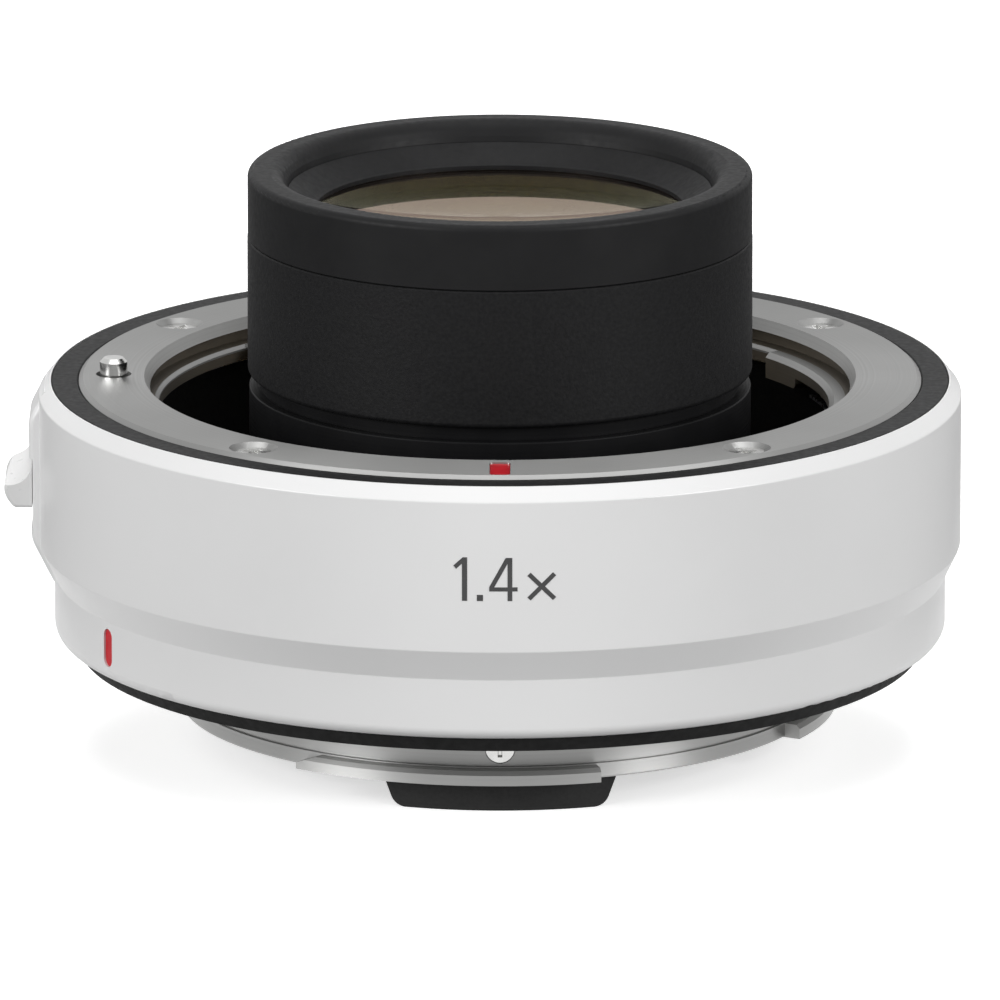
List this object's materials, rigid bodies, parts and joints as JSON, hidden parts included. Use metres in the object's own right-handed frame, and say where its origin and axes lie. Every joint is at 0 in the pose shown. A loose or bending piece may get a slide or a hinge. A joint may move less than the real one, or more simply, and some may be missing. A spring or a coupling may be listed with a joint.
{
  "type": "camera teleconverter",
  "caption": "Round white camera teleconverter: a black lens barrel between two steel bayonet mounts, with a lens lock pin and a side release lever.",
  "frame": {"origin": "on the optical axis, in the plane of the camera-side flange", "axes": "+Z along the optical axis, towards the lens; -Y towards the side with the number; -X towards the release lever"},
  "size_m": [0.0738, 0.0712, 0.0448],
  "materials": {
    "white_paint": "satin",
    "white_plastic": "satin",
    "black_paint": "matte",
    "black_grain": "fine grain",
    "black_plastic": "matte",
    "mount_steel": "satin, turned",
    "screw_steel": "satin",
    "spring_steel": "satin",
    "chassis_alloy": "black anodised",
    "coated_glass": "coated",
    "red_paint": "gloss",
    "gasket_rubber": "matte",
    "contact_gold": "gloss",
    "board_green": "satin",
    "chip_black": "matte",
    "flex_amber": "gloss"
  },
  "bodies": {
    "main": {"barrel_shell": "white_paint", "front_bezel": "black_paint", "front_mount_plate": "mount_steel", "front_mount_screws": "screw_steel", "bayonet_leaf_spring": "spring_steel", "lens_index_mark": "red_paint", "camera_index_mark": "red_paint", "inner_chassis": "chassis_alloy", "throat_shield": "black_plastic", "front_barrel_cap": "black_paint", "front_lens_tube": "black_grain", "barrel_carrier": "chassis_alloy", "front_retaining_ring": "black_paint", "front_group_cell": "chassis_alloy", "rear_group_cell": "chassis_alloy", "lens_1": "coated_glass", "lens_2": "coated_glass", "lens_3": "coated_glass", "lens_4": "coated_glass", "lens_5": "coated_glass", "lens_6": "coated_glass", "lens_7": "coated_glass", "doublet_ring": "black_paint", "triplet_ring": "black_paint", "rear_retaining_ring": "black_paint", "light_stop": "black_paint", "barrel_screws": "screw_steel", "lens_contact_block": "black_plastic", "contact_block_base": "black_plastic", "contact_block_screws": "screw_steel", "rear_bayonet_ring": "mount_steel", "rear_mount_screws": "screw_steel", "weather_gasket": "gasket_rubber", "rear_baffle": "black_plastic", "baffle_screws": "screw_steel", "camera_contact_block": "black_plastic", "camera_contacts": "contact_gold", "camera_block_screws": "screw_steel", "circuit_board": "board_green", "board_chips": "chip_black", "board_screws": "screw_steel", "main_flex": "flex_amber"},
    "lever": {"release_lever": "white_plastic", "release_slide": "spring_steel", "lever_screw": "screw_steel"},
    "pin": {"lock_pin": "screw_steel", "lock_pin_spring": "spring_steel"},
    "contacts": {"lens_contact_pins": "contact_gold", "lens_contact_springs": "spring_steel"}
  },
  "joints": [
    {"name": "release_lever_travel", "type": "slide", "parent": "main", "child": "lever", "axis": [0, 0, -1], "range_m": [0, 0.0016], "stiffness_N_per_m": 300, "springref_m": -0.002},
    {"name": "lock_pin_travel", "type": "slide", "parent": "main", "child": "pin", "axis": [0, 0, -1], "range_m": [0, 0.0016], "stiffness_N_per_m": 300, "springref_m": -0.002, "deforming": ["lock_pin_spring"]},
    {"name": "contact_pins_travel", "type": "slide", "parent": "main", "child": "contacts", "axis": [0, 0, -1], "range_m": [0, 0.0006], "stiffness_N_per_m": 600, "springref_m": -0.001, "deforming": ["lens_contact_springs"]}
  ],
  "couplings": [
    {"joint": "lock_pin_travel", "follows": "release_lever_travel", "ratio": 1}
  ]
}
